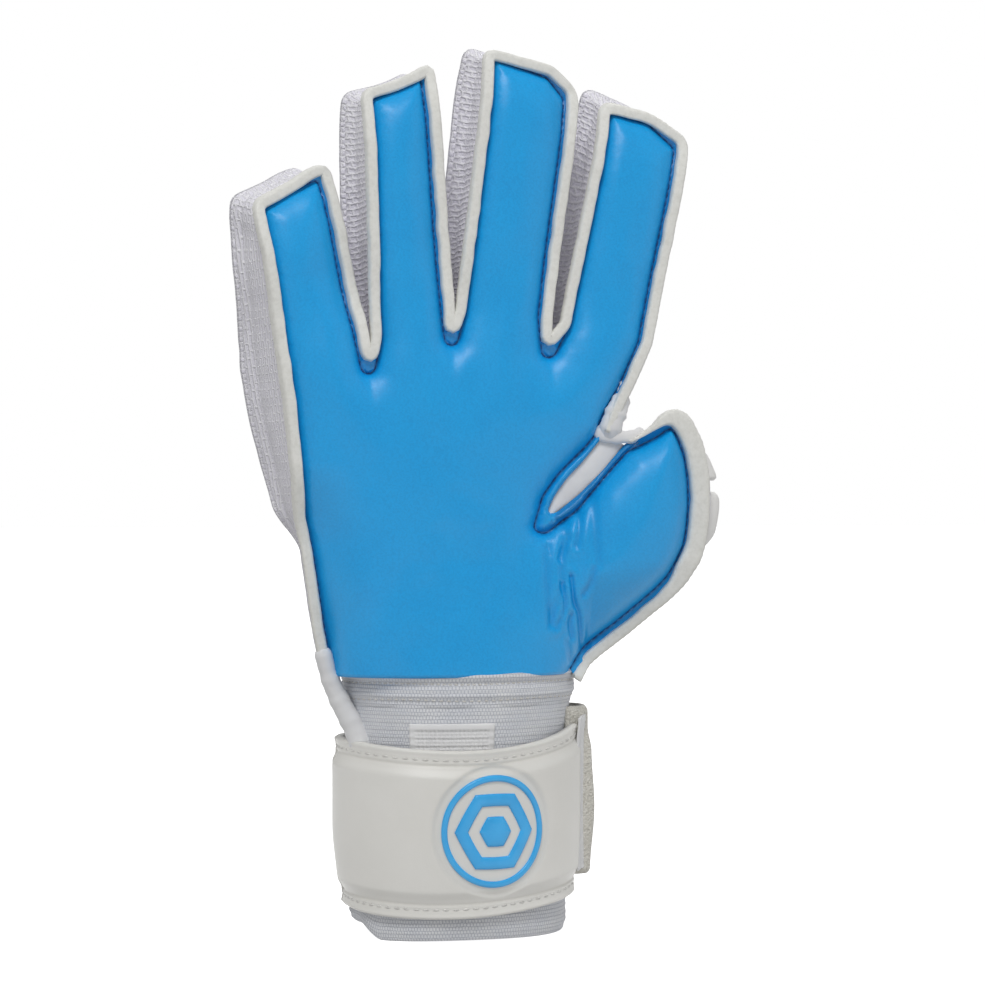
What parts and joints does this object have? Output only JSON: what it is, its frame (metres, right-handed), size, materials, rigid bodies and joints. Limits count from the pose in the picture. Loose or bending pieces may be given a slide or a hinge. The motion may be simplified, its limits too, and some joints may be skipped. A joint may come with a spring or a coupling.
{
  "type": "goalkeeper glove",
  "caption": "Flat-cut goalkeeper's glove for the right hand: blue latex palm, mesh gussets, foam back, elastic cuff and a wrap-round wrist strap.",
  "frame": {"origin": "centre of the bounding box at the rim of the cuff, on which the glove stands", "axes": "+Z from the cuff to the fingertips, palm facing -Y, thumb towards +X"},
  "size_m": [0.1568, 0.0606, 0.2858],
  "materials": {
    "latex": "satin foam latex",
    "foam": "matt foam with cloth backing",
    "mesh": "spacer mesh knit",
    "lining": "smooth cloth",
    "strap": "smooth coated cloth over foam",
    "badge": "moulded transfer",
    "elastic": "ribbed elastic knit",
    "tape": "hook and loop tape"
  },
  "bodies": {
    "root": {"palm_latex": "latex", "back_foam": "foam", "ulnar_gusset": "mesh", "fork_gusset_little_ring": "mesh", "fork_gusset_ring_middle": "mesh", "fork_gusset_middle_index": "mesh", "radial_gusset": "mesh", "thumb_web": "lining", "back_pad": "foam", "little_knuckle_fold": "latex", "ring_knuckle_fold": "latex", "middle_knuckle_fold": "latex", "index_knuckle_fold": "latex", "elastic_cuff": "elastic", "cuff_top_binding": "elastic", "notch_binding": "strap", "hook_patch": "tape", "strap_front": "strap", "strap_badge": "badge", "strap_anchor_tape": "tape", "strap_loop_panel": "tape"},
    "little_finger": {"little_palm_latex_mid": "latex", "little_back_foam_mid": "foam", "little_gusset_ulnar_side": "mesh", "little_gusset_thumb_side": "mesh", "little_joint_fold": "latex"},
    "little_fingertip": {"little_palm_latex_tip": "latex", "little_back_foam_tip": "foam", "little_gusset_tip": "mesh"},
    "ring_finger": {"ring_palm_latex_mid": "latex", "ring_back_foam_mid": "foam", "ring_gusset_ulnar_side": "mesh", "ring_gusset_thumb_side": "mesh", "ring_joint_fold": "latex"},
    "ring_fingertip": {"ring_palm_latex_tip": "latex", "ring_back_foam_tip": "foam", "ring_gusset_tip": "mesh"},
    "middle_finger": {"middle_palm_latex_mid": "latex", "middle_back_foam_mid": "foam", "middle_gusset_ulnar_side": "mesh", "middle_gusset_thumb_side": "mesh", "middle_joint_fold": "latex"},
    "middle_fingertip": {"middle_palm_latex_tip": "latex", "middle_back_foam_tip": "foam", "middle_gusset_tip": "mesh"},
    "index_finger": {"index_palm_latex_mid": "latex", "index_back_foam_mid": "foam", "index_gusset_ulnar_side": "mesh", "index_gusset_thumb_side": "mesh", "index_joint_fold": "latex"},
    "index_fingertip": {"index_palm_latex_tip": "latex", "index_back_foam_tip": "foam", "index_gusset_tip": "mesh"},
    "thumb": {"thumb_palm_latex": "latex", "thumb_back_foam": "foam", "thumb_outer_gusset": "mesh", "thumb_slit_gusset": "lining", "thumb_back_pad": "foam"},
    "strap_tail": {"strap_tail": "strap", "strap_hook_tape": "tape"}
  },
  "joints": [
    {"name": "little_knuckle_bend", "type": "hinge", "parent": "root", "child": "little_finger", "pos_m": [-0.05793, -0.0063, 0.2], "axis": [1, 0, 0], "range_deg": [0, 65], "stiffness_Nm_per_rad": 0.05, "deforming": ["little_knuckle_fold"]},
    {"name": "little_joint_bend", "type": "hinge", "parent": "little_finger", "child": "little_fingertip", "pos_m": [-0.06125, -0.0063, 0.222], "axis": [1, 0, 0], "range_deg": [0, 45], "stiffness_Nm_per_rad": 0.05, "deforming": ["little_joint_fold"]},
    {"name": "ring_knuckle_bend", "type": "hinge", "parent": "root", "child": "ring_finger", "pos_m": [-0.02539, -0.0063, 0.211], "axis": [1, 0, 0], "range_deg": [0, 65], "stiffness_Nm_per_rad": 0.05, "deforming": ["ring_knuckle_fold"]},
    {"name": "ring_joint_bend", "type": "hinge", "parent": "ring_finger", "child": "ring_fingertip", "pos_m": [-0.0269, -0.0063, 0.238], "axis": [1, 0, 0], "range_deg": [0, 45], "stiffness_Nm_per_rad": 0.05, "deforming": ["ring_joint_fold"]},
    {"name": "middle_knuckle_bend", "type": "hinge", "parent": "root", "child": "middle_finger", "pos_m": [0.00671, -0.0063, 0.211], "axis": [1, 0, 0], "range_deg": [0, 65], "stiffness_Nm_per_rad": 0.05, "deforming": ["middle_knuckle_fold"]},
    {"name": "middle_joint_bend", "type": "hinge", "parent": "middle_finger", "child": "middle_fingertip", "pos_m": [0.00984, -0.0063, 0.238], "axis": [1, 0, 0], "range_deg": [0, 45], "stiffness_Nm_per_rad": 0.05, "deforming": ["middle_joint_fold"]},
    {"name": "index_knuckle_bend", "type": "hinge", "parent": "root", "child": "index_finger", "pos_m": [0.04229, -0.0063, 0.208], "axis": [1, 0, 0], "range_deg": [0, 65], "stiffness_Nm_per_rad": 0.05, "deforming": ["index_knuckle_fold"]},
    {"name": "index_joint_bend", "type": "hinge", "parent": "index_finger", "child": "index_fingertip", "pos_m": [0.04706, -0.0063, 0.234], "axis": [1, 0, 0], "range_deg": [0, 45], "stiffness_Nm_per_rad": 0.05, "deforming": ["index_joint_fold"]},
    {"name": "thumb_fold", "type": "hinge", "parent": "root", "child": "thumb", "pos_m": [0.01878, -0.0176, 0.131], "axis": [0.2405, 0, -0.9706], "range_deg": [0, 30], "stiffness_Nm_per_rad": 0.05},
    {"name": "strap_peel", "type": "hinge", "parent": "root", "child": "strap_tail", "pos_m": [-0.04373, 0.0035, 0.0365], "axis": [0, 0, 1], "range_deg": [0, 100]}
  ]
}
